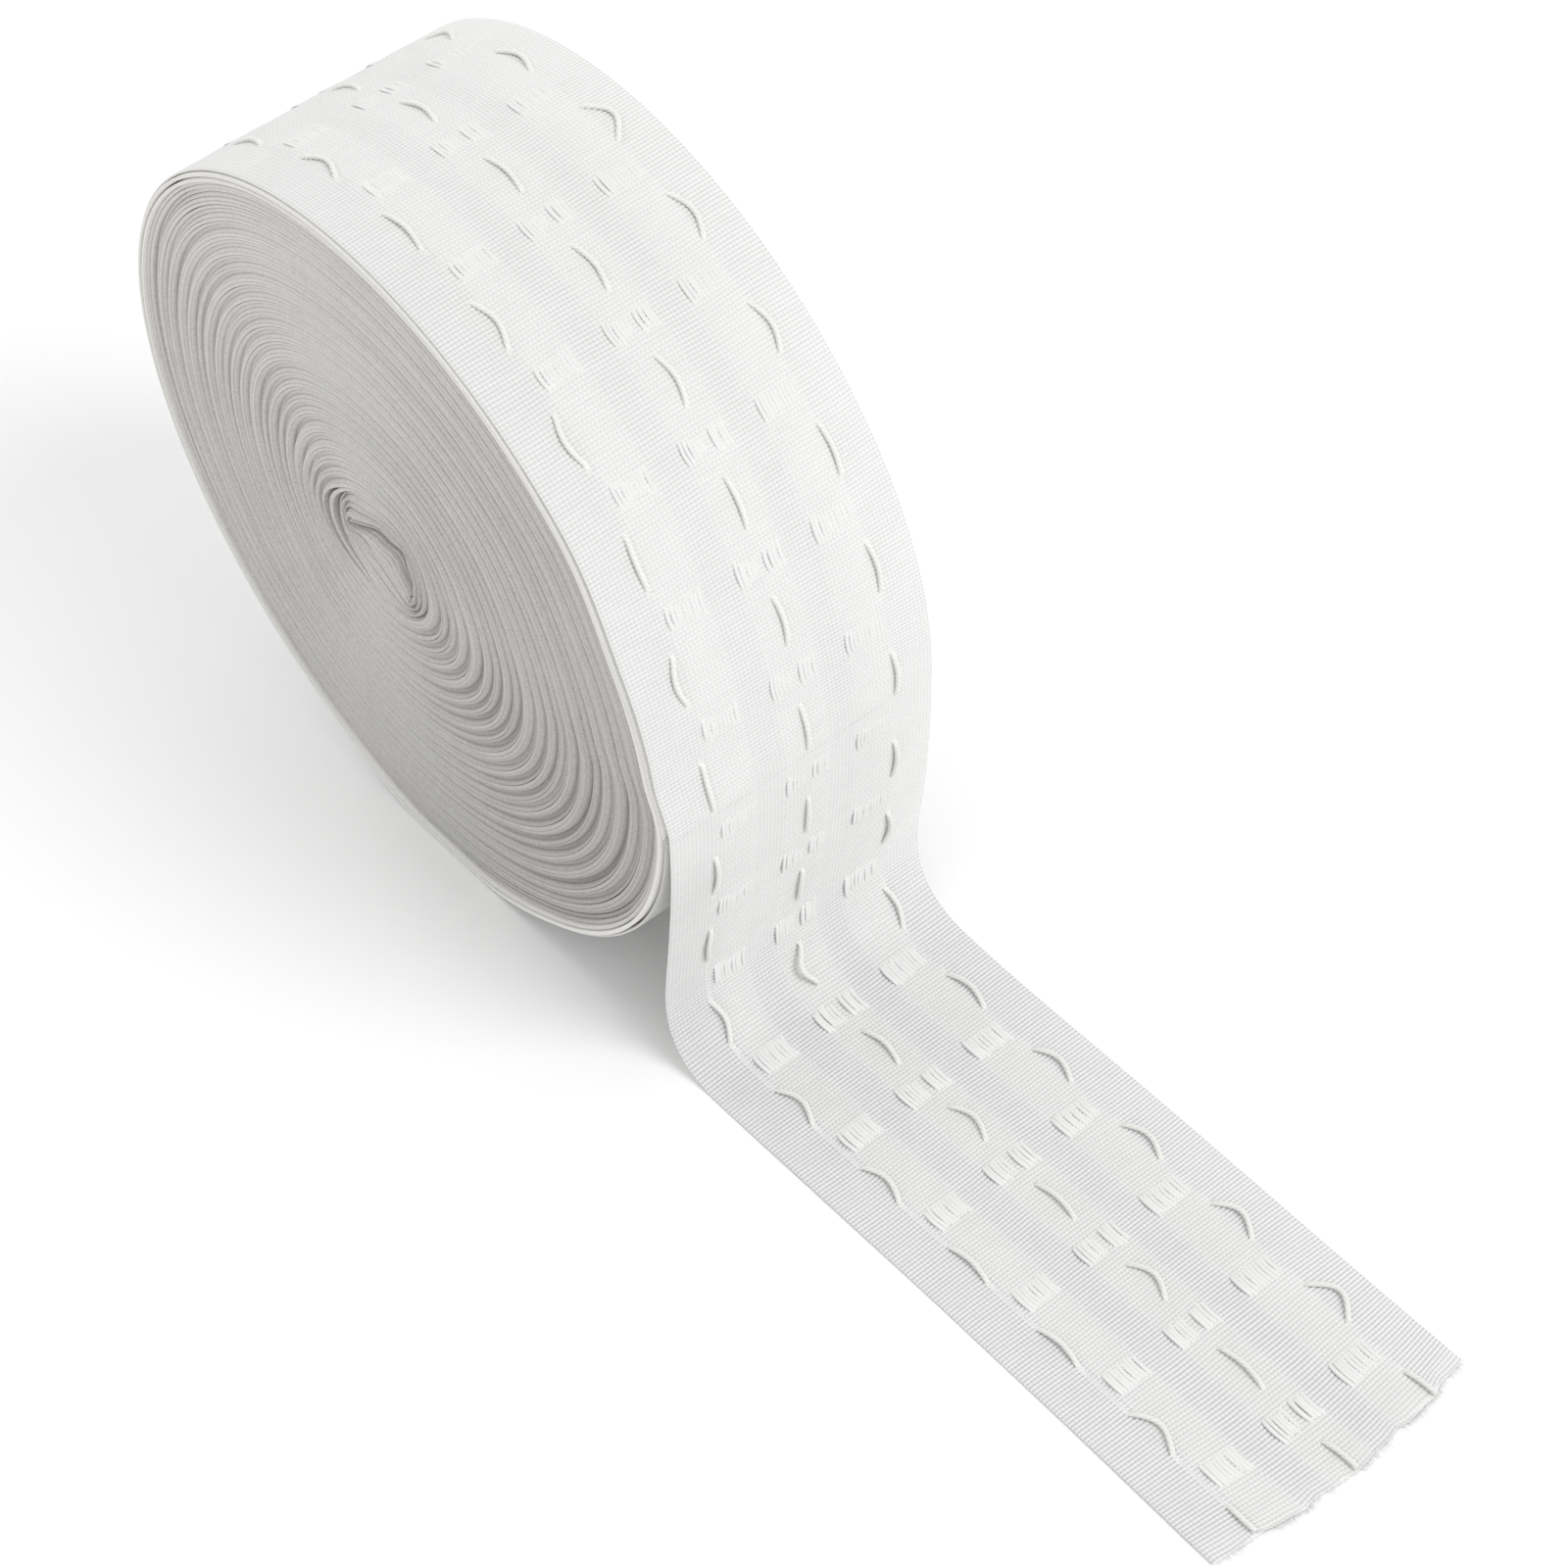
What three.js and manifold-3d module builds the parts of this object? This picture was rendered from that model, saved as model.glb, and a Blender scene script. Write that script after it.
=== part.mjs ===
// A roll of woven curtain heading tape, in millimetres.
// The band is wound without a core round a flat fold, so the roll is a little longer than it is high.
// It stands on its rim. The loose end leaves the front of the roll, drops, bends and lies on the floor.
// X runs across the band, Y from the cut end (-) to the back of the roll (+), and Z up from the floor.
import * as THREE from "three";
import { mergeVertices } from "three/addons/utils/BufferGeometryUtils.js";
import Module from "manifold-3d";

const wasm = await Module();
wasm.setup();
const { degToRad, lerp, smoothstep } = THREE.MathUtils;
const rounding = 0.01;

// The band and its cords
const bandWidth = 75;
const clothThickness = 1.6;
const clearance = 0.3;
const cordRadius = 0.4;
const cordSides = 5;
const sunkUnderFace = 0.05;
const grooveDepth = 2 * cordRadius + clearance + sunkUnderFace;
const grooveHalfWidth = { top: 0.9, bottom: 0.7 };
const floatStandOff = 1.1;
const pocketRelief = 0.5;
const pocketRamp = 0.5;

// The roll: every turn lies at an even distance from the fold in the middle
const foldHalfLength = 13.6;
const woundThickness = 83.3;
const longAxisTilt = degToRad(36.5);
const rollCentreZ = 88.4;
const settle = { flattened: 1.8, zone: 12 };
const foldPit = { halfWidth: 0.9, depth: 6 };
const nearDip = { full: 16, fade: 45, end: 78, depth: 3.2 };

// The loose end, along the middle of its drop and of its run on the floor
const cutEndY = -263.4;
const bendStartY = -107;
const bendTop = { y: -89.6, z: 22 };
const cutBow = 4;
const cutBowReach = 40;
const spareRun = 8;
const sway = { width: 0.8, length: 140 };
const seat = { length: 60, outside: 3, beside: 2 };

// The last stretch of the outer turn runs under the loose end
const coveredLength = { pressedFlat: 75, cordEnd: 32 };

// The longest step between two points along the band
const longestStep = { looseEnd: 9, rim: 9.8 };

// Where each cord and each pocket lies across the band, measured from the near edge
const cordRows = [
  { name: "near", x: 13, shift: 0.4, bulge: 1.6 },
  { name: "middle", x: 38.7, shift: 0.2, bulge: 1.2 },
  { name: "far", x: 64, shift: -0.6, bulge: 1.9 },
];
const pockets = [
  { from: 13.9, to: 23.2 },
  { from: 32, to: 37.8 },
  { from: 39.6, to: 44.2 },
  { from: 52.7, to: 63.1 },
];

// The weave repeats along the band: it is drawn together at the bend and stretched on the roll
const firstRepeat = -4.2;
const repeatZones = [
  { place: "floor", count: 6, pitch: 28.2 },
  { place: "bend", count: 2, pitch: 24.2 },
  { place: "roll", count: 20, pitch: 29 },
];
const bulgeChange = 0.45;
const inRepeat = { floatEnd: 0.46, pocketStart: 0.628, pocketEnd: 0.823 };
const floatShape = [
  { at: 0, height: 0, sideways: 0 },
  { at: 0.16, height: 0.75, sideways: 0.12 },
  { at: 0.5, height: 1, sideways: 1 },
  { at: 0.84, height: 0.75, sideways: 0.12 },
  { at: 1, height: 0, sideways: 0 },
];

// The main turns that part from each other in the end faces, from the rim to the fold
const mainTurns = [
  { inset: 0, gap: 0, depth: 0 },
  { inset: 2.4, gap: 1.2, depth: 3 },
  { inset: 12, gap: 1.4, depth: 1.6 },
  { inset: 28, gap: 1.6, depth: 1.6 },
  { inset: 50, gap: 1.6, depth: 2 },
  { inset: woundThickness - foldPit.halfWidth, gap: 0, depth: 0 },
];

const halfWidth = bandWidth / 2;
const longAxis = new THREE.Vector2(Math.cos(longAxisTilt), Math.sin(longAxisTilt));
const departureAngle = Math.PI - Math.atan2(
  woundThickness * Math.sin(longAxisTilt),
  (woundThickness + foldHalfLength) * Math.cos(longAxisTilt),
);

// The roll's own weight flattens what lies close to the floor.
function settled(z) {
  if (z >= settle.zone) return z;
  return Math.max(0, (settle.zone * (z - settle.flattened)) / (settle.zone - settle.flattened));
}

// The point at an angle on the turn that lies this far from the fold.
function onTurn(angle, fromFold, target = new THREE.Vector3()) {
  const along = (foldHalfLength + fromFold) * Math.cos(angle);
  const across = fromFold * Math.sin(angle);
  const y = along * longAxis.x - across * longAxis.y;
  const z = rollCentreZ + along * longAxis.y + across * longAxis.x;
  return target.set(0, y, settled(z));
}

class OuterTurn extends THREE.Curve {
  getPoint(t, target) {
    return onTurn(departureAngle - 2 * Math.PI * t, woundThickness, target);
  }
}

const outerTurn = new OuterTurn();
outerTurn.arcLengthDivisions = 900;
const departure = outerTurn.getPoint(0, new THREE.Vector3());
const floorPoint = (y) => new THREE.Vector3(0, y, clothThickness);
const bendEnd = new THREE.Vector3(0, bendTop.y, bendTop.z);

// The band's outer face seen from the side, from the cut end to the end of the outer turn.
const sidePath = new THREE.CurvePath();
sidePath.add(new THREE.LineCurve3(floorPoint(cutEndY - spareRun), floorPoint(bendStartY)));
sidePath.add(new THREE.CubicBezierCurve3(
  floorPoint(bendStartY),
  floorPoint(bendStartY + 9),
  new THREE.Vector3(0, bendTop.y + 0.2, bendTop.z - 17),
  bendEnd,
));
sidePath.add(new THREE.CubicBezierCurve3(
  bendEnd,
  new THREE.Vector3(0, bendTop.y - 0.2, bendTop.z + 13),
  new THREE.Vector3(0, departure.y, departure.z - 24),
  departure,
));
sidePath.add(outerTurn);
const pathLength = sidePath.getLength();
const outerLength = outerTurn.getLength();
const departureAt = pathLength - outerLength - spareRun;

// How far the near side of the roll's front lies inside its outline.
function dipAt(s, x) {
  const past = s - departureAt;
  const along = smoothstep(past, 0, nearDip.full) * (1 - smoothstep(past, nearDip.fade, nearDip.end));
  return nearDip.depth * along * (0.5 - x / bandWidth);
}

function swayAt(s) {
  const onFloor = cutEndY + s < bendStartY - 10;
  return onFloor ? sway.width * Math.sin((Math.PI * s) / sway.length) : 0;
}

// The outer face at a length s from the cut end: a point in the YZ plane and the way out of the cloth.
function faceAt(s) {
  const t = THREE.MathUtils.clamp((s + spareRun) / pathLength, 0, 1);
  const point = sidePath.getPoint(t);
  const tangent = sidePath.getTangent(t);
  return { point, outward: new THREE.Vector3(0, -tangent.z, tangent.y) };
}

// A point of the band from its length, its place across and its height over the outer face.
function onBand(s, x, height) {
  const { point, outward } = faceAt(s);
  point.addScaledVector(outward, height - dipAt(s, x));
  return point.setX(x + swayAt(s));
}

function repeats() {
  const list = [];
  let start = firstRepeat;
  for (const { count, pitch } of repeatZones)
    for (let i = 0; i < count; i++) {
      list.push({ start, pitch, index: list.length });
      start += pitch;
    }
  return list;
}

const allRepeats = repeats();

function inPocket(s, x) {
  const across = x + halfWidth;
  const within = (value, from, to) => value > from - rounding && value < to + rounding;
  return pockets.some(({ from, to }) => within(across, from, to)) && allRepeats.some(({ start, pitch }) =>
    within(s, start + inRepeat.pocketStart * pitch, start + inRepeat.pocketEnd * pitch));
}

// The places across the band where its outer face changes height, with that height.
function bandColumns() {
  const columns = [{ x: 0, height: 0 }, { x: bandWidth, height: 0 }];
  for (const { x } of cordRows) {
    for (const side of [-1, 1]) {
      columns.push({ x: x + side * grooveHalfWidth.top, height: 0 });
      columns.push({ x: x + side * grooveHalfWidth.bottom, height: -grooveDepth });
    }
  }
  for (const { from, to } of pockets) {
    const edges = [{ x: from, outside: from - pocketRamp }, { x: to, outside: to + pocketRamp }];
    for (const { x, outside } of edges) {
      const besideCord = cordRows.some((row) =>
        Math.abs(Math.abs(x - row.x) - grooveHalfWidth.top) < rounding);
      if (!besideCord) columns.push({ x, height: 0 }, { x: outside, height: 0 });
    }
  }
  columns.sort((a, b) => a.x - b.x);
  return columns.map(({ x, height }) => ({ x: x - halfWidth, height }));
}

// Lengths along the band where its face has points: the pockets' ends, and steps between them.
function stationsBetween(from, to, longest) {
  const marks = [from, to];
  for (const { start, pitch } of allRepeats)
    for (const part of [inRepeat.pocketStart, inRepeat.pocketEnd]) marks.push(start + part * pitch);
  const inside = marks.filter((s) => s >= from && s <= to).sort((a, b) => a - b);
  const stations = [from];
  for (const s of inside) {
    const last = stations.at(-1);
    const steps = Math.ceil((s - last) / longest);
    for (let i = 1; i <= steps; i++) stations.push(lerp(last, s, i / steps));
  }
  return stations;
}

function closedSolid(geometry) {
  for (const name of ["normal", "uv"]) geometry.deleteAttribute(name);
  return mergeVertices(geometry, 1e-3);
}

// Sweeps a section along the band: at each station its points are placed by the given function.
function sweptAlong(stations, section, place) {
  const steps = stations.length - 1;
  const geometry = new THREE.ExtrudeGeometry(section, { depth: 1, steps, bevelEnabled: false });
  const positions = geometry.getAttribute("position");
  const point = new THREE.Vector3();
  for (let i = 0; i < positions.count; i++) {
    point.fromBufferAttribute(positions, i);
    const station = steps - Math.round(point.z * steps);
    point.copy(place(stations[station], point.x, point.y));
    positions.setXYZ(i, point.x, point.y, point.z);
  }
  return closedSolid(geometry);
}

// The cut is bowed, so the middle of the band reaches further than its edges.
function bowedAt(s, x) {
  const reach = Math.max(0, 1 - s / cutBowReach);
  return s - cutBow * reach * (1 - (x / halfWidth) ** 2);
}

function looseEndGeometry() {
  const top = bandColumns();
  const outline = [...top].reverse().map(({ x, height }) => new THREE.Vector2(x, height));
  outline.push(new THREE.Vector2(-halfWidth, -clothThickness), new THREE.Vector2(halfWidth, -clothThickness));
  const isRaised = (s, x, height) => height === 0 && inPocket(s, x);
  const stations = stationsBetween(0, departureAt, longestStep.looseEnd);
  return sweptAlong(stations, new THREE.Shape(outline), (s, x, height) =>
    onBand(bowedAt(s, x), x, isRaised(s, x, height) ? pocketRelief : height));
}

// The space that the loose end takes where it leaves the roll, with its clearance.
function seatGeometry() {
  const wide = halfWidth + seat.beside;
  const deep = clothThickness + clearance;
  const section = new THREE.Shape([
    new THREE.Vector2(wide, seat.outside),
    new THREE.Vector2(-wide, seat.outside),
    new THREE.Vector2(-wide, -deep),
    new THREE.Vector2(wide, -deep),
  ]);
  const alongEnd = stationsBetween(0, departureAt, longestStep.looseEnd);
  const stations = alongEnd.filter((s) => s > departureAt - seat.length);
  stations[stations.length - 1] += clearance;
  return sweptAlong(stations, section, onBand);
}

// Rings of one end face, each a function of how far round the outer turn it is.
function faceRings(side) {
  const ring = (pick) => (row, turn) => lerp(pick(mainTurns[row]), pick(mainTurns[row + 1]), turn);
  const insetOf = ring((row) => row.inset);
  const gapOf = ring((row) => row.gap);
  const depthOf = ring((row) => row.depth);
  const openness = (angle) => 0.35 + 0.65 * Math.cos(angle) ** 2;
  const rings = [];
  for (let row = 0; row < mainTurns.length - 1; row++) {
    rings.push((turn) => ({ inset: insetOf(row, turn), x: side * halfWidth }));
    rings.push((turn, angle) => ({
      inset: insetOf(row, turn) + gapOf(row, turn),
      x: side * (halfWidth - depthOf(row, turn) * openness(angle)),
    }));
  }
  rings.push(() => ({ inset: mainTurns.at(-1).inset, x: side * halfWidth }));
  rings.push(() => ({ inset: woundThickness, x: side * (halfWidth - foldPit.depth), isPole: true }));
  return rings;
}

// The wound band as one solid: a lathe's points laid on the turns, with the rim's grooves and pockets.
function woundRollGeometry() {
  const stations = stationsBetween(departureAt, departureAt + outerLength, longestStep.rim);
  const columns = stations.length - 1;
  const rim = bandColumns().reverse().map(({ x, height }) => (turn, angle, s) => ({
    inset: 0,
    x,
    height: height === 0 && inPocket(s, x) && s !== departureAt ? pocketRelief : height,
  }));
  const rows = [...faceRings(1).reverse(), ...rim, ...faceRings(-1)];
  const profile = rows.map((row) => {
    const { inset, x } = row(0, 0, departureAt);
    return new THREE.Vector2(woundThickness - inset, x);
  });
  const geometry = new THREE.LatheGeometry(profile, columns);
  const positions = geometry.getAttribute("position");
  const point = new THREE.Vector3();
  for (let column = 0; column <= columns; column++) {
    const s = stations[column % columns];
    const turnT = outerTurn.getUtoTmapping(0, s - departureAt);
    const angle = departureAngle - 2 * Math.PI * turnT;
    const tangent = outerTurn.getTangent(turnT);
    const outward = new THREE.Vector3(0, -tangent.z, tangent.y);
    rows.forEach((row, j) => {
      const { inset, x, height = 0, isPole } = row(column / columns, angle, s);
      const share = 1 - inset / woundThickness;
      if (isPole) point.set(0, 0, rollCentreZ);
      else onTurn(angle, woundThickness - inset, point);
      point.addScaledVector(outward, height - dipAt(s, x) * share ** 3);
      positions.setXYZ(column * rows.length + j, x, point.y, Math.max(0, point.z));
    });
  }
  return closedSolid(geometry);
}

// Where along the band a cord has points: five for each float and one between floats.
function cordStations({ x, shift, bulge }) {
  const first = { s: bowedAt(0, x - halfWidth) + 2 * clearance, height: 0.9, sideways: 0.4 };
  const last = departureAt + outerLength - coveredLength.cordEnd;
  const stations = [];
  for (const { start, pitch, index } of allRepeats) {
    const begin = start + shift;
    const floatLength = inRepeat.floatEnd * pitch;
    const side = bulge * (1 + bulgeChange * Math.sin(2.4 * index + x));
    for (const { at, height, sideways } of floatShape)
      stations.push({ s: begin + at * floatLength, height, sideways: sideways * side });
    stations.push({ s: begin + (pitch + floatLength) / 2, height: 0, sideways: 0 });
  }
  return [first, ...stations.filter(({ s }) => s > first.s + 1 && s < last)];
}

// A float stands out of its groove only as far as the floor or the turn over it lets it.
function cordCentre({ s, height, sideways }, place) {
  const sunkHeight = -cordRadius - sunkUnderFace;
  const lowest = cordRadius + sunkUnderFace;
  const { outward } = faceAt(s);
  const centre = onBand(s, place, sunkHeight);
  const covered = s > departureAt + outerLength - coveredLength.pressedFlat;
  const overFloor = outward.z < 0 ? Math.max(0, (centre.z - lowest) / -outward.z) : Infinity;
  const wanted = height * (floatStandOff - sunkHeight);
  const rise = covered ? 0 : Math.min(wanted, overFloor);
  centre.addScaledVector(outward, rise);
  centre.x += wanted > 0 ? sideways * (rise / wanted) : 0;
  centre.z = Math.max(centre.z, lowest);
  return centre;
}

function cordSection() {
  const corners = [];
  for (let i = 0; i < cordSides; i++) {
    const angle = (2 * Math.PI * (i + 0.25)) / cordSides;
    corners.push(new THREE.Vector2(cordRadius * Math.cos(angle), cordRadius * Math.sin(angle)));
  }
  return new THREE.Shape(corners);
}

// A draw cord lies in its groove and comes up as one float in each repeat.
function drawCordGeometry(row) {
  const stations = cordStations(row);
  const centres = new Map(stations.map((station) => [station.s, cordCentre(station, row.x - halfWidth)]));
  return sweptAlong([...centres.keys()], cordSection(), (s, across, height) => {
    const point = centres.get(s).clone().addScaledVector(faceAt(s).outward, height);
    return point.setX(point.x + across);
  });
}

// Joining and cutting
function toSolid(geometry) {
  return new wasm.Manifold(new wasm.Mesh({
    numProp: 3,
    vertProperties: geometry.getAttribute("position").array,
    triVerts: new Uint32Array(geometry.index.array),
  }));
}

function toGeometry(solid) {
  const { vertProperties, triVerts } = solid.getMesh();
  const geometry = new THREE.BufferGeometry();
  geometry.setAttribute("position", new THREE.BufferAttribute(vertProperties, 3));
  geometry.setIndex(new THREE.BufferAttribute(triVerts, 1));
  return geometry;
}

const seatedRoll = toGeometry(toSolid(woundRollGeometry()).subtract(toSolid(seatGeometry())));

const cloth = new THREE.MeshStandardMaterial({ color: 0xedecea, roughness: 0.95, metalness: 0 });
const yarn = new THREE.MeshStandardMaterial({ color: 0xf6f5f1, roughness: 0.85, metalness: 0 });

const roll = new THREE.Group();

function addPiece(name, geometry, material) {
  geometry.computeVertexNormals();
  const mesh = new THREE.Mesh(geometry, material);
  mesh.name = name;
  roll.add(mesh);
}

addPiece("wound_roll", seatedRoll, cloth);
addPiece("loose_end", looseEndGeometry(), cloth);
for (const row of cordRows) addPiece(`draw_cord_${row.name}`, drawCordGeometry(row), yarn);

export default roll;
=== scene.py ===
"""A roll of woven curtain heading tape with draw cords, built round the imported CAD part."""

import math
import random

import bmesh
import bpy
import numpy as np
from mathutils import Matrix, Vector


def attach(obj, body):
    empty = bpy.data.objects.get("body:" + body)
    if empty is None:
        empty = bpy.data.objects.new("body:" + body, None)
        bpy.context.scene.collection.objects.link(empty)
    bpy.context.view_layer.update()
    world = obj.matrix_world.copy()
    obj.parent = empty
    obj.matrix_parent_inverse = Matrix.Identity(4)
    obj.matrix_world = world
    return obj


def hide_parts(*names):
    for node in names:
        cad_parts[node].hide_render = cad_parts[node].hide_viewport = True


bl_info = {
    "name": "Roll of curtain heading tape",
    "version": (1, 0, 0),
    "blender": (4, 5, 0),
    "location": "3D View > Sidebar > Heading tape",
    "description": "Woven heading tape with draw cords, wound on itself, with a loose end on the floor",
    "category": "Add Mesh",
}

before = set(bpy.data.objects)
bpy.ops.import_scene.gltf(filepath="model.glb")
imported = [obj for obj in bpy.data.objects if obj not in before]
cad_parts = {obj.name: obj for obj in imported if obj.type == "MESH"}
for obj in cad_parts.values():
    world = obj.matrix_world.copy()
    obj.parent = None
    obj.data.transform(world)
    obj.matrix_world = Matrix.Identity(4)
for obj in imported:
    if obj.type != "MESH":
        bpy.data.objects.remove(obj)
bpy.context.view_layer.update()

# Shapes are worked out in millimetres and scaled to metres when a mesh is made.
MM = 0.001

# The tape, measured across from its near edge
BAND_WIDTH = 75
HALF_WIDTH = BAND_WIDTH / 2
CORD_ROWS = {"near": 11.9, "middle": 38.1, "far": 63.8}
DENSE_ZONES = ((13, 23.5), (31.5, 44.5), (52, 63.8))
POCKETS = ((13.9, 23.2), (32, 37.8), (39.6, 44.2), (52.7, 63.1))
FACE_COLUMNS = (
    0, 0.6, 1.3, 5, 9, 11, 11.9, 12.8, 14.2, 17, 20.5, 23.5, 27.5, 31.5, 35, 37.2, 38.1,
    39, 42, 44.5, 48.2, 52, 55, 58, 61, 62.9, 63.8, 64.7, 68, 71, 73.7, 74.4, 75,
)
ROWS_A_RIB = 4

# The weave repeats along the tape: drawn together at the bend and stretched on the roll
FIRST_REPEAT = -4.2
REPEAT_ZONES = ((6, 28.2), (2, 24.2), (20, 29))
FLOAT_SHARE = 0.46
POCKET_SHARE = (0.628, 0.823)
CORD_SHIFT = {"near": 0.4, "middle": 0.2, "far": -0.6}

# How far each draw-cord float bows sideways, from the cut end to the top of the roll
FLOAT_BOWS = {
    "near": (-0.4, 2.8, 0.9, 0.8, 2, 2.2, 1.6, -0.8, 0.5, -0.4, -1.6, -0.5, -1.6, 1.8, 0.9, 2.2, 1.2),
    "middle": (0.5, 0.8, 2.6, 0.8, 2.2, 1.2, -2.8, -0.4, -0.2, 0.2, 0.6, 0.3, 1.3, 1.2, 1, 1.2, 1.2),
    "far": (0.5, 4.3, 3, 2.2, 2.2, 1.5, 1.4, 1, 0.6, 0.6, 0.7, 0.6, 1.8, 2.2, 4.3, 2, 2.6),
}
LOOSE_LOOP = {"row": "middle", "index": 6, "rise": 2.2}

# The roll: every turn lies at an even distance from the fold in its middle
FOLD_HALF_LENGTH = 13.6
WOUND_THICKNESS = 83.3
LONG_AXIS_TILT = math.radians(36.5)
ROLL_CENTRE_Z = 88.4
FLATTENED = 1.8
SETTLE_ZONE = 12
PRESSED_PITCH = 0.72
NEAR_DIP = {"full": 16, "fade": 45, "end": 78, "depth": 3.2}

# The loose end, along the middle of its drop and of its run on the floor
CUT_END_Y = -263.4
BEND_START_Y = -107
BEND_TOP = (-89.6, 22)
CUT_BOW = 4
CUT_BOW_REACH = 40
RAGGED_REACH = 5
SPARE_RUN = 8

# The tape's sideways drift: a length from the cut, then the drift of its near edge, far edge and middle
DRIFTS = (
    (0, -0.6, -0.9, 0),
    (40, -0.05, -1.2, 0),
    (85, 0.05, -1.45, 0),
    (130, -0.4, -2.2, 0),
    (150, -0.7, -2.2, 0),
    (165, -0.6, -1.3, 0),
    (180, -0.3, -0.6, 0),
    (198, 0.5, 1.1, 0.5),
    (215, 0.6, 0.8, 0.8),
    (230, 0.6, 0.3, 0.9),
    (245, 0.1, -0.1, 0.9),
)

# How far inside the outline the first and the second turn lie under the loose end
UNDER_DEPARTURE = 1.4
UNDER_SECOND = 2.1

# The winding: its turns, the half width of the innermost, their pitch, and the steps between points
TURNS = 100
INNERMOST = 0.9
TURN_PITCH = (WOUND_THICKNESS - UNDER_SECOND - INNERMOST) / (TURNS - 1)
STATION_STEP = 3.4
FEWEST_STATIONS = 44

# How deep the turns of one group are sunk in the end face, as shares of the deepest
GROUP_OF_FIVE = (1, 0.42, 0, 0.05, 0.38)
SMALLER_GROUP = (1, 0.3, 0, 0.36)

# The middle of the winding lies round a slit, and its turns part on one side of it
CORE = {"half_width": 15, "longer": 1.5, "slit": 9.5, "along": 3.2, "across": -5.6}
OPENING = {"half_width": 15.5, "angle": -48, "spread": 34, "width": 4.8, "turns": 22}
TIGHT_ANGLE = math.radians(-95)

# The tape is pulled tight between these lengths, where it leaves the floor for the roll
PULLED_TIGHT = (165, 240)

# The last of the outer turn lies under the loose end's drop, without cord or pocket floats
WITHOUT_CORD = 75
WITHOUT_POCKETS = 70

# Yarns: the sides of their sections, and how far a pocket float runs into the cloth at each end
CORD_STRANDS = 3
CORD_SIDES = 12
THREAD_PITCH = 1.03
POCKET_SIDES = 6
POCKET_OVERLAP = 0.9
FRINGE_YARNS = 150

CAMERA = {
    "target": (33.893, -47.277, 0.239),
    "azimuth": -41.133,
    "elevation": 49.779,
    "distance": 1094.3,
    "lens": 106.93,
    "sensor": 36,
}

# Each lamp: its name, its place and its size in metres, and its power in watts
LAMPS = (
    ("key_light", (0.6, -1.5, 1.9), 1.5, 25.6),
    ("back_light", (-0.1, 1.8, 0.96), 1.0, 9.5),
)
LAMP_TARGET = (0, -0.06, 0.05)
SKY_STRENGTH = 0.775
FLOOR_RADIUS = 4.0
FLOOR_LOWERED = 0.04


def smooth_step(value, start, end):
    share = np.clip((value - start) / (end - start), 0, 1)
    return share * share * (3 - 2 * share)


def turned_soft(value, softness=0.5):
    """The larger of value and 0, with a soft corner between them."""
    return (value + np.sqrt(value * value + softness * softness)) / 2


def in_mm(length):
    return length / MM


# The tape's line seen from the side


def settled(z, inset):
    """The height of a point of the roll once its own weight has flattened what lies near the floor."""
    pressed = np.clip((SETTLE_ZONE - z) / SETTLE_ZONE, 0, 1)
    at_contact = (SETTLE_ZONE - FLATTENED) / SETTLE_ZONE
    lowered = z - FLATTENED * (pressed / at_contact) ** 2
    lowest = PRESSED_PITCH * inset
    return np.where(z < SETTLE_ZONE, lowest + turned_soft(lowered - lowest), z)


def off_long_axis(along, across):
    """The side-view place of a point that lies this far along and across the roll's long axis."""
    y = along * math.cos(LONG_AXIS_TILT) - across * math.sin(LONG_AXIS_TILT)
    z = ROLL_CENTRE_Z + along * math.sin(LONG_AXIS_TILT) + across * math.cos(LONG_AXIS_TILT)
    return y, z


def on_turn(angle, from_fold):
    """The side-view point at an angle on the turn that lies this far from the fold."""
    y, z = off_long_axis((FOLD_HALF_LENGTH + from_fold) * np.cos(angle), from_fold * np.sin(angle))
    return y, settled(z, WOUND_THICKNESS - from_fold)


def bezier(start, first, second, end, count):
    t = np.linspace(0, 1, count)[:, None]
    points = [np.array(point, float) for point in (start, first, second, end)]
    weights = ((1 - t) ** 3, 3 * (1 - t) ** 2 * t, 3 * (1 - t) * t * t, t**3)
    return sum(weight * point for weight, point in zip(weights, points))


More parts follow.
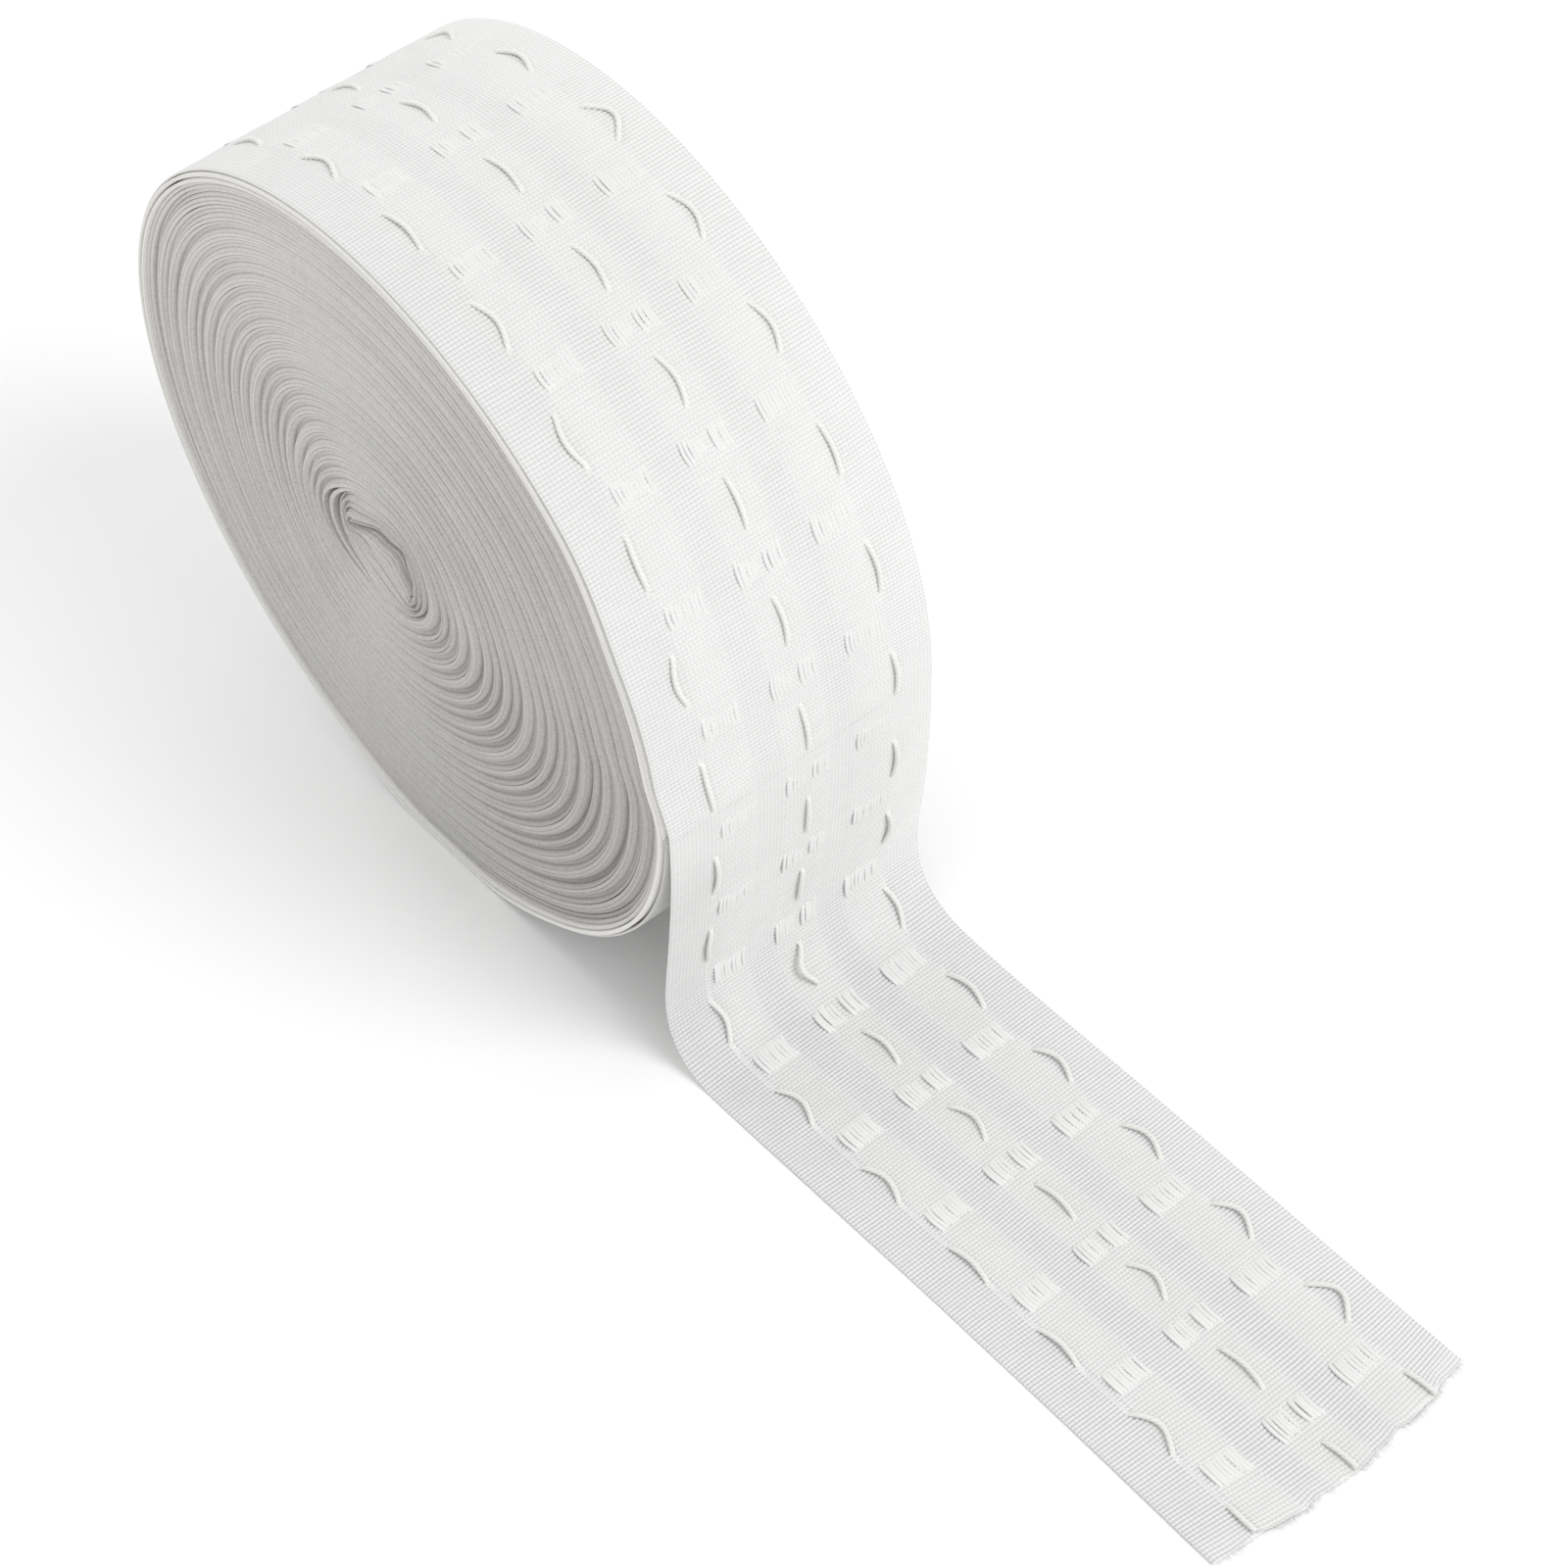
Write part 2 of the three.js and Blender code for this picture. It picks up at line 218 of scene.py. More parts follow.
class SideLine:
    """The tape's outer face seen from the side, from the cut end to the end of the outer turn."""

    def __init__(self, face_on_floor):
        self.departure_angle = math.pi - math.atan2(
            WOUND_THICKNESS * math.sin(LONG_AXIS_TILT),
            (WOUND_THICKNESS + FOLD_HALF_LENGTH) * math.cos(LONG_AXIS_TILT),
        )
        turn = np.linspace(0, 1, 5000)
        inset = UNDER_DEPARTURE * smooth_step(turn, 0.72, 1)
        self.turn_angles = self.departure_angle - 2 * math.pi * turn
        wound = np.stack(on_turn(self.turn_angles, WOUND_THICKNESS - inset), axis=1)
        departure = wound[0]
        bend_y, bend_z = BEND_TOP
        lying = np.linspace((CUT_END_Y - SPARE_RUN, face_on_floor), (BEND_START_Y, face_on_floor), 1500)
        bend = bezier(
            (BEND_START_Y, face_on_floor),
            (BEND_START_Y + 9, face_on_floor),
            (bend_y + 0.2, bend_z - 17),
            BEND_TOP,
            600,
        )
        drop = bezier(
            BEND_TOP,
            (bend_y - 0.2, bend_z + 13),
            (departure[0], departure[1] - 24),
            departure,
            900,
        )
        self.points = np.concatenate([lying, bend[1:], drop[1:], wound[1:]])
        steps = np.hypot(*np.diff(self.points, axis=0).T)
        self.lengths = np.concatenate([[0], np.cumsum(steps)]) - SPARE_RUN
        self.turn_lengths = self.lengths[-len(wound):]
        self.departure_at = self.turn_lengths[0]
        self.end_at = self.lengths[-1]

    def at(self, length):
        y = np.interp(length, self.lengths, self.points[:, 0])
        z = np.interp(length, self.lengths, self.points[:, 1])
        return y, z

    def outward(self, length):
        """The way out of the cloth's outer face, as y and z."""
        reach = 0.7
        before = np.stack(self.at(length - reach), axis=-1)
        after = np.stack(self.at(length + reach), axis=-1)
        tangent = after - before
        tangent /= np.linalg.norm(tangent, axis=-1, keepdims=True)
        return -tangent[..., 1], tangent[..., 0]

    def length_at_angle(self, angle):
        """How far past the departure the outer turn is at this angle."""
        turned = np.mod(self.departure_angle - angle, 2 * math.pi)
        turned_so_far = self.departure_angle - self.turn_angles
        return np.interp(turned, turned_so_far, self.turn_lengths) - self.departure_at


def near_dip(past, x):
    """How far the near side of the roll's front lies inside its outline."""
    rise = smooth_step(past, 0, NEAR_DIP["full"])
    fall = 1 - smooth_step(past, NEAR_DIP["fade"], NEAR_DIP["end"])
    return NEAR_DIP["depth"] * rise * fall * (0.5 - x / BAND_WIDTH)


def bowed(length, x):
    """The cut is bowed, so the middle of the tape reaches further than its edges."""
    reach = np.clip(1 - length / CUT_BOW_REACH, 0, None)
    ragged = 0.45 * np.sin(x / 3.1 + 0.6) + 0.3 * np.sin(x / 1.3)
    at_cut = np.clip(1 - length / RAGGED_REACH, 0, 1)
    return length - CUT_BOW * reach * (1 - (x / HALF_WIDTH) ** 2) - ragged * at_cut


def lifted(length, x):
    """The loose end lies on the floor in long, very low waves."""
    lying = 1 - smooth_step(length, 130, 150)
    edge = (x / HALF_WIDTH) ** 2
    wave = 0.5 + 0.5 * np.sin(length / 17 + 1.3 + 0.03 * x)
    corner = 0.5 * np.clip(1 - length / 22, 0, 1) ** 2 * (0.4 + 0.6 * np.sin(x / 11 + 0.5) ** 2)
    return lying * (0.14 * edge * wave + corner)


def drifted(length, x):
    """Where the tape lies sideways, as its cloth stretches and drifts a little off its line."""
    lengths, *drifts = np.array(DRIFTS, float).T
    near, far, middle = (
        np.mean([np.interp(length + step, lengths, drift) for step in (-8, -4, 0, 4, 8)], axis=0)
        for drift in drifts
    )
    share = x / BAND_WIDTH + 0.5
    return x + near * (1 - share) + far * share + middle * 4 * share * (1 - share)


def on_tape(line, length, x, height):
    """A point of the tape from its length, its place across and its height over the outer face."""
    y, z = line.at(length)
    out_y, out_z = line.outward(length)
    offset = height - near_dip(length - line.departure_at, x) + lifted(length, x)
    return np.stack([drifted(length, x), y + out_y * offset, z + out_z * offset], axis=-1)


def repeats():
    """The start, length and number of every repeat of the weave."""
    found = []
    start = FIRST_REPEAT
    for count, pitch in REPEAT_ZONES:
        for _ in range(count):
            found.append((start, pitch, len(found)))
            start += pitch
    return found


def between(value, start, end, softness):
    """1 between start and end and 0 outside them, with soft borders."""
    return smooth_step(value, start - softness, start + softness) * (
        1 - smooth_step(value, end - softness, end + softness)
    )


# Meshes


def add_tube(maker, rings, lay):
    """Adds a grid, rolled up so that rings[i, j] is point j of ring i, in millimetres.
    lay[i, j] is kept on each point for the materials."""
    count, around = rings.shape[:2]
    made = bmesh.ops.create_grid(maker, x_segments=count - 1, y_segments=around, size=1)
    layer = maker.verts.layers.float_vector["lay"]
    for vert in made["verts"]:
        i = round((vert.co.x + 1) / 2 * (count - 1))
        j = round((vert.co.y + 1) / 2 * around) % around
        vert.co = rings[i, j] * MM
        vert[layer] = lay[i, j]


def tube_maker():
    maker = bmesh.new()
    maker.verts.layers.float_vector.new("lay")
    return maker


def finished_object(maker, name, material):
    """Closes the tubes in a bmesh and makes it a piece with a material."""
    bmesh.ops.remove_doubles(maker, verts=maker.verts, dist=1e-7)
    for face in maker.faces:
        face.smooth = True
    open_edges = [edge for edge in maker.edges if edge.is_boundary]
    lids = bmesh.ops.holes_fill(maker, edges=open_edges, sides=0)["faces"]
    bmesh.ops.recalc_face_normals(maker, faces=maker.faces)
    for face in lids:
        face.smooth = False
    bmesh.ops.triangulate(maker, faces=[face for face in lids if face.is_valid])
    mesh = bpy.data.meshes.new(name)
    maker.to_mesh(mesh)
    maker.free()
    mesh.materials.append(material)
    piece = bpy.data.objects.new(name, mesh)
    bpy.context.scene.collection.objects.link(piece)
    return piece


def ribbed_height(length, rib, across, sizes):
    """The height of the tape's outer face: ribs, slots for the cords, and cloth raised at the pockets."""
    in_dense = sum(between(across, start, end, 0.4) for start, end in DENSE_ZONES)
    depth = in_mm(sizes.rib_depth) * (1 - 0.6 * in_dense)
    # The ribs fade at the cut and are flatter where the tape is tight.
    depth = depth * smooth_step(length, 2, 6)
    depth = depth * (1 - 0.35 * smooth_step(length, 190, 230))
    valley = 0.5 - 0.5 * np.cos(2 * math.pi * rib)
    height = -depth * valley
    for start, pitch, _ in repeats():
        floating = between(length, start, start + FLOAT_SHARE * pitch, 1.2)
        held = between(length, start + FLOAT_SHARE * pitch + 1.5, start + pitch - 1.5, 1.2)
        for place in CORD_ROWS.values():
            near_cord = np.exp(-(((across - place) / 0.95) ** 2))
            height = height + near_cord * (0.12 * held - 0.1 * floating)
        pocket_start, pocket_end = (start + share * pitch for share in POCKET_SHARE)
        raised = between(length, pocket_start, pocket_end, 1)
        for start_across, end_across in POCKETS:
            height = height + 0.1 * raised * between(across, start_across, end_across, 0.5)
    selvedge = np.exp(-((across / 0.5) ** 2)) + np.exp(-(((BAND_WIDTH - across) / 0.5) ** 2))
    return height - 0.14 * selvedge


def tape_piece(name, line, start, end, sizes, material):
    """One length of the tape as a closed thin sheet with its ribs."""
    thickness = in_mm(sizes.cloth_thickness)
    rib_pitch = in_mm(sizes.rib_pitch)
    first = round(start / rib_pitch * ROWS_A_RIB)
    last = round(end / rib_pitch * ROWS_A_RIB)
    rib = np.arange(first, last + 1) / ROWS_A_RIB
    columns = np.array(FACE_COLUMNS, float)
    rib_grid, across = np.meshgrid(rib, columns, indexing="ij")
    length = rib_grid * rib_pitch
    # The ribs wander a little, but not at the cut.
    calm = smooth_step(length, 0, 6)
    wander = 0.16 * np.sin(across / 8.3 + length / 31) + 0.1 * np.sin(across / 3.7 - length / 12)
    length = length + calm * wander
    height = ribbed_height(length, rib_grid, across, sizes)
    x = across - HALF_WIDTH
    face = on_tape(line, bowed(length, x), x, height)
    lay = np.stack([across, rib_grid * rib_pitch, np.zeros_like(across)], axis=-1)

    def strip(place_across, lowered, middle_column):
        """A row of points along the tape off its outer face."""
        along = length[:, middle_column]
        place = np.full_like(along, place_across - HALF_WIDTH)
        points = on_tape(line, bowed(along, place), place, np.full_like(along, -lowered))
        marks = np.stack([np.full_like(along, place_across), along, np.ones_like(along)], axis=-1)
        return points[:, None], marks[:, None]

    strips = [
        strip(BAND_WIDTH + 0.08, thickness * 0.5, -1),
        strip(BAND_WIDTH - 0.3, thickness, -1),
        strip(HALF_WIDTH, thickness, len(columns) // 2),
        strip(0.3, thickness, 0),
        strip(-0.08, thickness * 0.5, 0),
    ]
    rings = np.concatenate([face] + [points for points, _ in strips], axis=1)
    marks = np.concatenate([lay] + [mark for _, mark in strips], axis=1)
    maker = tube_maker()
    add_tube(maker, rings, marks)
    return finished_object(maker, name, material)


# The wound turns


def lobe(angle, middle, width):
    """1 at one angle round the roll and falling to 0 away from it. middle and width are in degrees."""
    away = np.mod(angle - math.radians(middle) + math.pi, 2 * math.pi) - math.pi
    return np.exp(-((away / math.radians(width)) ** 2))


def parted(angle):
    """How freely the turns part: most near both ends of the long axis, less above it and hardly below."""
    ends = np.maximum(lobe(angle, -32, 50), lobe(angle, 172, 48))
    return 0.05 + 0.95 * np.maximum(ends, 0.5 * lobe(angle, 105, 60))


def ring_point(half_width, angle):
    """The place of a ring of the winding along and across the roll's long axis."""
    within = half_width / WOUND_THICKNESS
    outer = np.clip((half_width - CORE["half_width"]) / (WOUND_THICKNESS - CORE["half_width"]), 0, 1)
    inner = np.clip(1 - half_width / CORE["half_width"], 0, 1)
    longer = CORE["longer"] + (FOLD_HALF_LENGTH - CORE["longer"]) * outer**0.8
    longer = longer + (CORE["slit"] - CORE["longer"]) * inner
    along = CORE["along"] * (1 - within**2) + (longer + half_width) * np.cos(angle)
    across = CORE["across"] * (1 - within**3) + half_width * np.sin(angle)
    swirl = np.maximum(7.9 - 0.096 * (along - 1) ** 2, -8) * np.exp(-((half_width / 9) ** 2))
    curls = 0.8 * np.sin(0.9 * along + 0.5) * np.exp(-((half_width / 6) ** 2))
    return along, across + swirl + curls


def winding_groups(generator):
    """How deep each turn's edge is sunk and how far inwards it lies. The turns lie in groups of a few."""
    sunk = [0.0]
    inwards = [0.0]
    while len(sunk) < TURNS + 8:
        group = generator.choice((3, 4, 4, 5, 5))
        depth = generator.uniform(1.7, 2.7)
        tight = generator.uniform(0.01, 0.04)
        shares = GROUP_OF_FIVE if group == len(GROUP_OF_FIVE) else SMALLER_GROUP
        for share in shares[:group]:
            sunk.append(depth * share)
            inwards.append(inwards[-1] - tight)
        inwards[-1] = inwards[-1] + tight * group
    drift = np.cumsum([generator.uniform(-0.03, 0.03) for _ in inwards])
    return np.array(sunk), np.array(inwards) + drift - np.mean(drift)


def spiral_stations():
    """How many turns in each point of the winding lies, from the end of the outer turn to the middle."""
    stations = []
    for turn in range(1, TURNS + 1):
        half_width = WOUND_THICKNESS * (1 - turn / (TURNS + 1))
        around = 2 * math.pi * (half_width + FOLD_HALF_LENGTH / 2)
        count = max(FEWEST_STATIONS, math.ceil(around / STATION_STEP))
        stations.extend(turn + np.arange(count) / count)
    return np.array(stations)


def turn_number(turn, line):
    """The whole number of a turn. It changes where the turns lie tight, so nothing shows there."""
    counted = turn - (line.departure_angle - TIGHT_ANGLE) / (2 * math.pi)
    whole = np.floor(counted)
    return whole + smooth_step(counted - whole, 0.9, 1) + 2


def ring_half_width(turn, angle, number, inwards):
    """How far each point of the winding lies from the roll's long axis."""
    inset = UNDER_DEPARTURE + (UNDER_SECOND - UNDER_DEPARTURE) * smooth_step(turn, 1.72, 2)
    inset = inset + TURN_PITCH * np.clip(turn - 2, 0, None)
    inset = inset - 0.7 * between(turn % 1, 0.12, 0.88, 0.1) * (1 - smooth_step(turn, 1.9, 14))
    loose = 0.2 * (0.4 + 0.6 * lobe(angle, -45, 50))
    inset = inset + loose * smooth_step(turn, 2.05, 2.35) * (1 - smooth_step(turn, 3, 14))
    calm = smooth_step(turn, 3, 6) * (1 - smooth_step(turn, TURNS - 8, TURNS - 3))
    inset = inset + np.interp(number, np.arange(len(inwards)), inwards) * parted(angle) * calm
    opening_turn = 2 + (WOUND_THICKNESS - UNDER_SECOND - OPENING["half_width"]) / TURN_PITCH
    opens = smooth_step(turn, opening_turn - OPENING["turns"], opening_turn)
    opens = opens * (1 - smooth_step(turn, opening_turn + 0.1, opening_turn + 1))
    opened = OPENING["width"] * opens * lobe(angle, OPENING["angle"], OPENING["spread"])
    return np.maximum(WOUND_THICKNESS - inset + opened, 0.3)


def sunk_depth(turn, angle, number, sunk, uneven):
    """How deep one edge of each turn lies in the end face of the roll."""
    knots = np.arange(len(sunk))
    middle = smooth_step(turn, TURNS - 16, TURNS - 9)
    ends = np.maximum(parted(angle), 0.45 * middle)
    shift = 0.08 * np.interp(number, knots, uneven) * (0.4 + 0.6 * ends)
    groove = np.interp(number, knots, sunk) * ends * smooth_step(turn, 3.5, 6)
    return np.maximum(groove, 2 * smooth_step(turn, TURNS - 2, TURNS - 0.8)) + shift


def edge_places(turn, depth, side):
    """Where one edge of each turn lies across the roll."""
    proud = 0.5 * (1 - smooth_step(turn, 1.96, 2.12)) * smooth_step(turn, 1, 1.12)
    third = 0.45 * smooth_step(turn, 1.95, 2.1) * (1 - smooth_step(turn, 2.7, 3))
    behind = 0.45 * smooth_step(turn, 3, 3.3)
    return side * (HALF_WIDTH + proud + third - behind - depth)


def wound_piece(line, sizes, material):
    """The tape wound on itself under the outer turn, down to the fold in the middle."""
    generator = random.Random(11)
    turn = spiral_stations()
    angle = line.departure_angle - 2 * math.pi * turn
    number = turn_number(turn, line)
    sunk, inwards = winding_groups(generator)
    half_width = ring_half_width(turn, angle, number, inwards)

    def side_view(widths):
        y, z = off_long_axis(*ring_point(widths, angle))
        return y, settled(z, WOUND_THICKNESS - widths)

    y, z = side_view(half_width)
    tangent = np.stack([np.gradient(y), np.gradient(z)], axis=-1)
    tangent /= np.linalg.norm(tangent, axis=-1, keepdims=True)
    out = np.stack([-tangent[:, 1], tangent[:, 0]], axis=-1)
    inner_y, inner_z = side_view(np.maximum(half_width - TURN_PITCH, 0.05))
    room = (y - inner_y) * out[:, 0] + (z - inner_z) * out[:, 1]
    cloth = in_mm(sizes.cloth_thickness)
    thickness = np.clip(0.95 * room, 0.25, 2 * cloth)
    past = line.length_at_angle(angle)
    share = np.clip(half_width / WOUND_THICKNESS, 0, 1) ** 3
    steps = np.hypot(np.diff(y), np.diff(z))
    length = line.end_at + np.concatenate([[0], np.cumsum(steps)])
    uneven = {side: np.array([generator.uniform(-1, 1) for _ in sunk]) for side in (-1, 1)}
    corner = 0.12
    # The corners of the tape's section: a side, a share of the thickness, and how far inwards it lies
    profile = (
        (-1, 0, corner),
        (1, 0, corner),
        (1, 0.15, 0),
        (1, 0.85, 0),
        (1, 1, corner),
        (-1, 1, corner),
        (-1, 0.85, 0),
        (-1, 0.15, 0),
    )
    rings = []
    marks = []
    for side, depth, inset in profile:
        lowered = sunk_depth(turn, angle, number + depth - 0.5, sunk, uneven[side]) + inset
        x = edge_places(turn, lowered, side)
        offset = -depth * thickness - near_dip(past, x) * share
        rings.append(np.stack([x, y + out[:, 0] * offset, z + out[:, 1] * offset], axis=-1))
        marks.append(np.stack([lowered if side < 0 else BAND_WIDTH - lowered, length, turn], axis=-1))
    maker = tube_maker()
    add_tube(maker, np.stack(rings, axis=1), np.stack(marks, axis=1))
    return finished_object(maker, "roll_windings", material)


# Cords and floats


def directions(points):
    """The way along a line of points at each of them."""
    way = np.gradient(points, axis=0)
    return way / np.linalg.norm(way, axis=1, keepdims=True)


def round_rings(points, outward, width, height, sides, lobes=0, twist=None):
    """Rings round a line. Each is an ellipse whose height stands along outward.
    A cord's strands are lobes on it."""
    way = directions(points)
    upward = outward - way * np.sum(outward * way, axis=1, keepdims=True)
    upward /= np.linalg.norm(upward, axis=1, keepdims=True)
    sideways = np.cross(way, upward)
    turn = np.arange(sides) / sides * 2 * math.pi
    reach = np.ones((len(points), sides))
    if lobes:
        reach = 0.87 + 0.13 * np.cos(lobes * (turn[None, :] - twist[:, None]))
    across = (width[:, None] * reach * np.cos(turn))[..., None] * sideways[:, None]
    up = (height[:, None] * reach * np.sin(turn))[..., None] * upward[:, None]
    return points[:, None] + across + up


def out_of_cloth(line, length):
    """The way out of the cloth's outer face, as vectors."""
    out_y, out_z = line.outward(length)
    return np.stack([np.zeros_like(out_y), out_y, out_z], axis=-1)


def float_bow(row, index):
    bows = FLOAT_BOWS[row]
    if index < len(bows):
        return bows[index]
    return 1.2 + 1.1 * math.sin(2.4 * index + CORD_ROWS[row])


def cord_piece(row, line, sizes, material):
    """A draw cord. It lies flat inside the cloth and comes up as one float in each repeat."""
    radius = in_mm(sizes.cord_diameter) / 2
    inside = -in_mm(sizes.cloth_thickness) * 0.55
    last_float = line.end_at - WITHOUT_CORD
    lengths, heights, sides, free = [], [], [], []
    for start, pitch, index in repeats():
        start += CORD_SHIFT[row]
        if start > last_float:
            break
        floating = FLOAT_SHARE * pitch
        share = np.linspace(0, 1, 25)
        swell = np.sin(math.pi * share)
        is_loop = row == LOOSE_LOOP["row"] and index == LOOSE_LOOP["index"]
        tighter = 1 - 0.45 * smooth_step(start, *PULLED_TIGHT) - 0.2 * smooth_step(start, 420, 450)
        rise = LOOSE_LOOP["rise"] if is_loop else in_mm(sizes.float_rise) * tighter
        bow = float_bow(row, index)
        lengths.extend(start + floating * share)
        heights.extend(inside + (rise - inside) * swell**0.5)
        sides.extend(bow * swell**1.2)
        free.extend(np.minimum(1, 3.2 * swell))
        hidden = np.linspace(start + floating, start + pitch, 8)[1:-1]
        lengths.extend(hidden)
        heights.extend(np.full(len(hidden), inside))
        sides.extend(np.zeros(len(hidden)))
        free.extend(np.zeros(len(hidden)))
    length, height, side, free = (np.array(values) for values in (lengths, heights, sides, free))
    place = CORD_ROWS[row] - HALF_WIDTH
    at_cut = length > 0
    length, height, side, free = (values[at_cut] for values in (length, height, side, free))
    x = place + side
    points = on_tape(line, bowed(length, np.full_like(length, place)), x, height)
    lowest = radius * (0.3 + 0.7 * free) + 0.05
    points[:, 2] = np.maximum(points[:, 2], lowest)
    width = radius * (1.2 - 0.1 * free)
    tall = radius * (0.3 + 0.6 * free)
    twist = length * 2 * math.pi / in_mm(sizes.cord_lay) / CORD_STRANDS
    outward = out_of_cloth(line, length)
    rings = round_rings(points, outward, width, tall, CORD_SIDES, lobes=CORD_STRANDS, twist=twist)
    around = np.arange(CORD_SIDES) / CORD_SIDES
    marks = np.stack(np.broadcast_arrays(around[None, :], length[:, None], free[:, None]), axis=-1)
    maker = tube_maker()
    add_tube(maker, rings, marks)
    return finished_object(maker, f"draw_cord_{row}_twist", material)


def pocket_piece(line, sizes, material):
    """The short floats that form the hook pockets, four groups in each repeat."""
    generator = random.Random(5)
    maker = tube_maker()
    pitch_across = in_mm(sizes.pocket_pitch)
    share = np.linspace(0, 1, 9)
    swell = np.sin(math.pi * share)
    for start, pitch, _ in repeats():
        begin, end = (start + part * pitch for part in POCKET_SHARE)
        if end > line.end_at - WITHOUT_POCKETS:
            break
        for from_across, to_across in POCKETS:
            count = round((to_across - from_across) / pitch_across)
            step = (to_across - from_across) / count
            for i in range(count):
                across = from_across + step * (i + 0.5) + generator.uniform(-0.07, 0.07)
                first_end = begin - POCKET_OVERLAP + generator.uniform(-0.4, 0.4)
                last_end = end + POCKET_OVERLAP + generator.uniform(-0.4, 0.4)
                length = first_end + (last_end - first_end) * share
                bow = generator.uniform(-0.7, -0.3)
                x = across + bow * swell - HALF_WIDTH
                tighter = smooth_step(begin, *PULLED_TIGHT)
                higher = 0.3 * max(0, 1 - i / 2.5) * (1 - 0.5 * tighter)
                rise = (in_mm(sizes.pocket_rise) + higher) * generator.uniform(0.85, 1.15)
                rise = rise - 0.1 * tighter
                height = -0.34 + (rise + 0.34) * swell**0.8
                points = on_tape(line, bowed(length, x), x, height)
                width = np.full(len(share), 0.57 * step)
                points[:, 2] = np.maximum(points[:, 2], 0.2)
                outward = out_of_cloth(line, length)
                rings = round_rings(points, outward, width, width * 0.32, POCKET_SIDES)
                around = np.full((1, POCKET_SIDES), across)
                numbers = np.full((1, POCKET_SIDES), i)
                marks = np.stack(np.broadcast_arrays(around, length[:, None], numbers), axis=-1)
                add_tube(maker, rings, marks)
    return finished_object(maker, "pocket_floats", material)


def fringe_piece(line, material):
    """The short loosened yarn ends at the cut."""
    generator = random.Random(3)
    maker = tube_maker()
    share = np.linspace(0, 1, 5)
    for i in range(FRINGE_YARNS):
        across = 0.5 + (BAND_WIDTH - 1) * (i + generator.uniform(0, 1)) / FRINGE_YARNS
        x = across - HALF_WIDTH
        reach = generator.uniform(0.3, 1) ** 2 * 1.9
        drift = generator.uniform(-0.5, 0.5)
        start = bowed(np.array([0.0]), np.array([x]))[0]
        y, _ = line.at(np.array([start]))
        root = generator.uniform(-0.15, 0.25)
        tip = generator.uniform(-0.2, 0.5)
        z = 0.42 + root * (1 - share) + tip * share**2
        points = np.stack([x + drift * share**1.5, y[0] + 0.5 - (reach + 0.5) * share, z], axis=-1)
        points[:, 2] = np.maximum(points[:, 2], 0.16)
        upward = np.tile([0.0, 0.0, 1.0], (len(share), 1))
        width = generator.uniform(0.08, 0.14) * (1 - 0.6 * share)
        rings = round_rings(points, upward, width, width, 5)
        marks = np.zeros(rings.shape)
        add_tube(maker, rings, marks)
    return finished_object(maker, "cut_end_yarns", material)


# Finishes


class Reading:
    """A value in a material. Sums and products of readings add Math nodes."""

    def __init__(self, finish, socket):
        self.finish = finish
        self.socket = socket

    def worked(self, operation, *values):
        return self.finish.node("ShaderNodeMath", {"operation": operation}, values)

    def __add__(self, other):
        return self.worked("ADD", self, other)

    def __sub__(self, other):
        return self.worked("SUBTRACT", self, other)

    def __mul__(self, other):
        return self.worked("MULTIPLY", self, other)

    def __truediv__(self, other):
        return self.worked("DIVIDE", self, other)

    def __pow__(self, other):
        return self.worked("POWER", self, other)

    def __rsub__(self, other):
        return self.worked("SUBTRACT", other, self)

    __radd__ = __add__
    __rmul__ = __mul__

    def wave(self, pitch):
        """0 at every whole pitch and 1 half-way between."""
        turned = self * (2 * math.pi / pitch)
        return 0.5 - 0.5 * turned.worked("COSINE", turned)

    def window(self, start, end, softness):
        """1 between start and end, with soft borders."""
        rise = self.ramp(start - softness, start + softness)
        return rise - self.ramp(end - softness, end + softness)

    def ramp(self, start, end):
        """0 up to start and 1 from end on."""
        settings = {"interpolation_type": "SMOOTHSTEP"}
        values = {"Value": self, "From Min": start, "From Max": end}
        return self.finish.node("ShaderNodeMapRange", settings, values)


